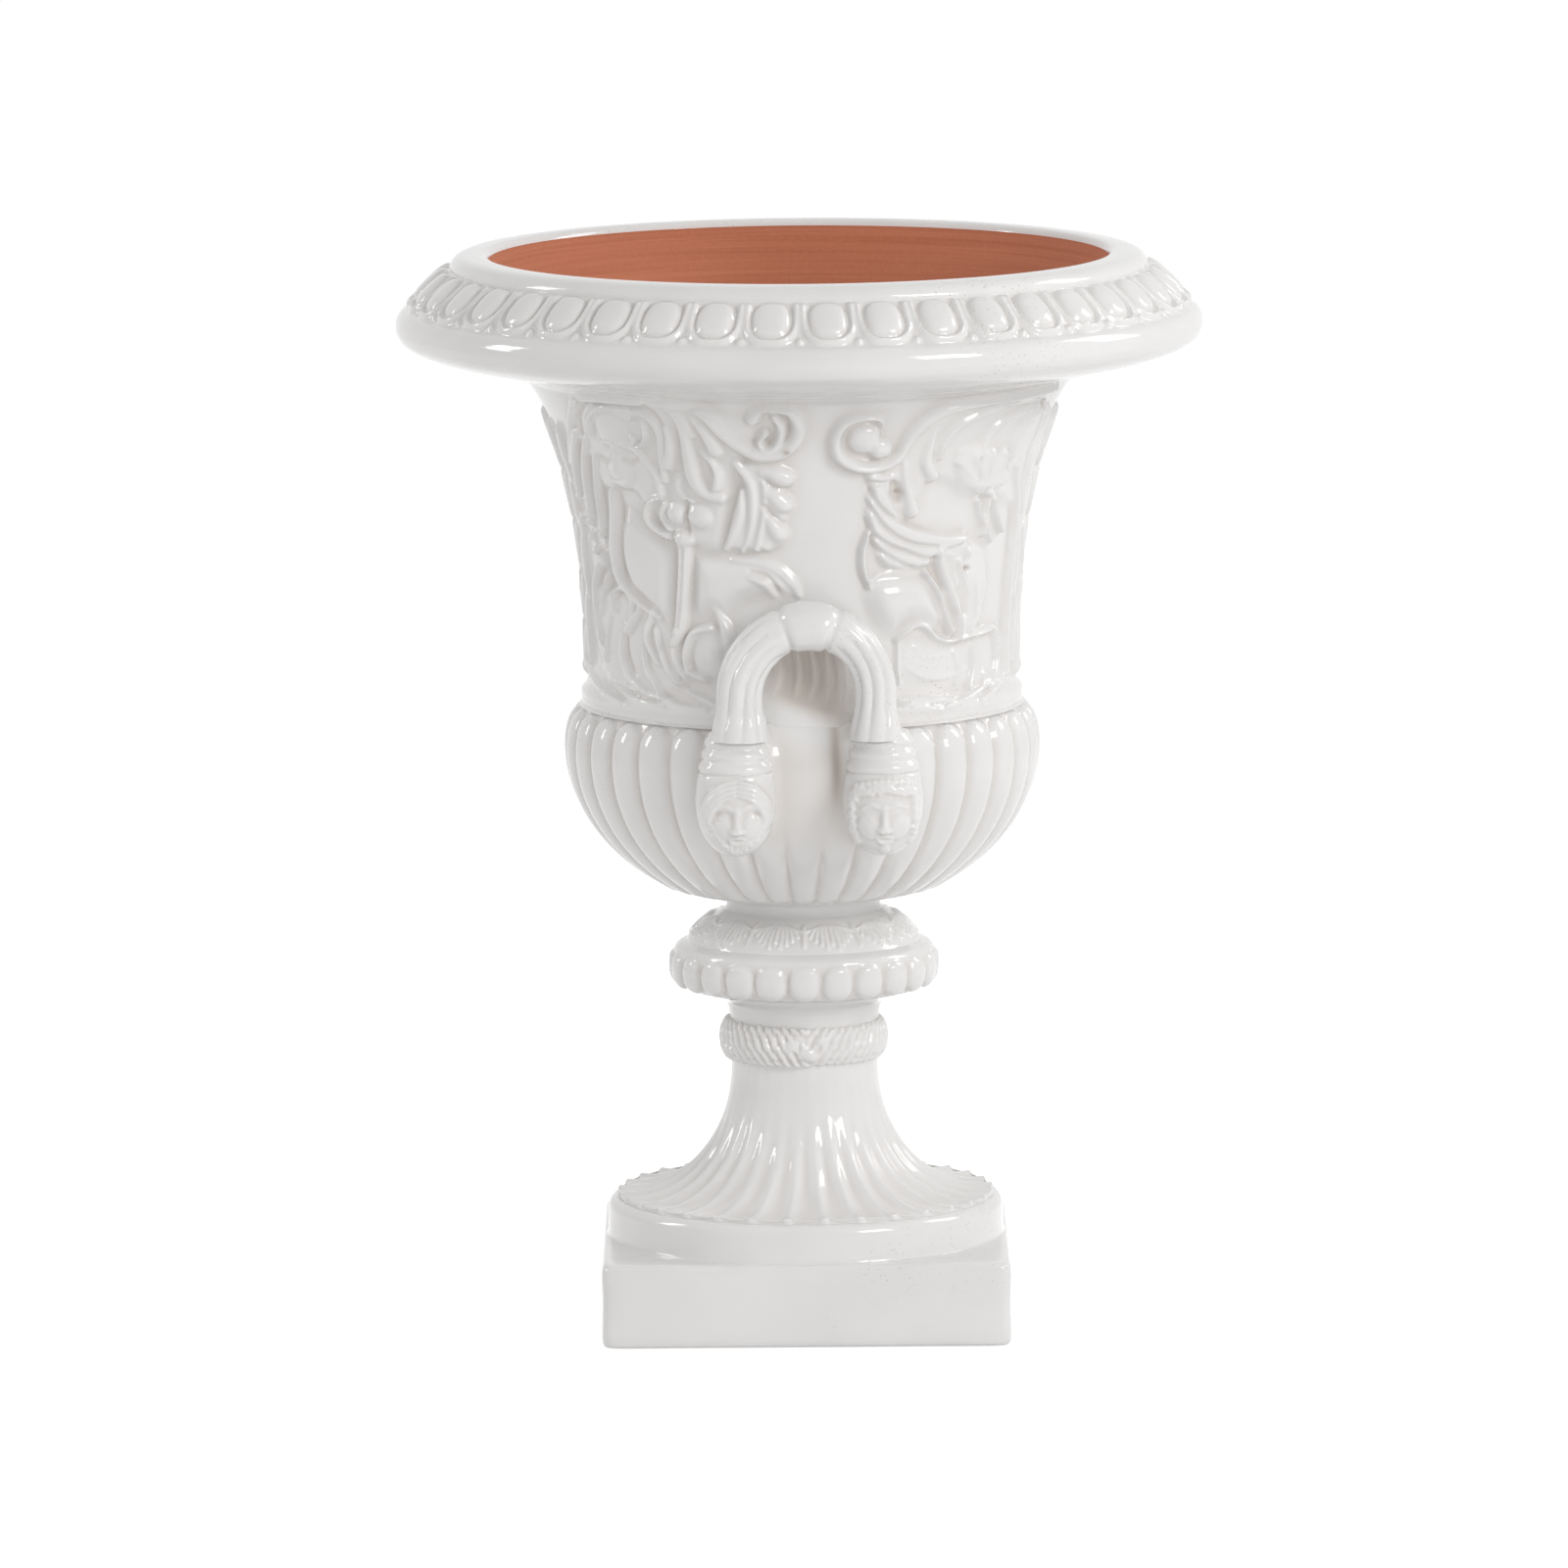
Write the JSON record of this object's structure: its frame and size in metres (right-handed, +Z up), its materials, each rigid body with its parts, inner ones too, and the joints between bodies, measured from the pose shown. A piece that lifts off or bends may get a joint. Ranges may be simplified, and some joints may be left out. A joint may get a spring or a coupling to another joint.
{
  "type": "urn vase",
  "caption": "Campana urn in white glazed terracotta: egg-moulded rim, relief frieze, gadrooned bowl, loop handles on masks, knopped stem, fluted foot and square plinth. Bare clay inside.",
  "frame": {"origin": "centre of the plinth's underside, on the ground", "axes": "+Z up, -Y towards the front handle, +X to the viewer's right"},
  "size_m": [0.45, 0.45, 0.6],
  "materials": {
    "white_glaze": "thick glossy white tin glaze with soft pooled edges",
    "terracotta": "bare matt clay with fine turning lines"
  },
  "bodies": {
    "root": {"square_plinth": "white_glaze", "plinth_drum": "white_glaze", "fluted_foot": "white_glaze", "wreath_band": "white_glaze", "stem_neck": "white_glaze", "knop_bead_ring": "white_glaze", "knop_cap": "white_glaze", "bowl_collar": "white_glaze", "bowl_shell": "terracotta", "gadrooned_bowl": "white_glaze", "bell_wall": "white_glaze", "rim_flange": "white_glaze", "egg_band": "white_glaze", "front_left_horn": "white_glaze", "front_right_horn": "white_glaze", "front_knuckle": "white_glaze", "rear_left_horn": "white_glaze", "rear_right_horn": "white_glaze", "rear_knuckle": "white_glaze", "mask_front_left": "white_glaze", "griffin_front_left": "white_glaze", "acanthus_front_left": "white_glaze", "mask_front_right": "white_glaze", "griffin_front_right": "white_glaze", "acanthus_front_right": "white_glaze", "mask_rear_left": "white_glaze", "griffin_rear_left": "white_glaze", "acanthus_rear_left": "white_glaze", "mask_rear_right": "white_glaze", "griffin_rear_right": "white_glaze", "acanthus_rear_right": "white_glaze"}
  },
  "joints": []
}
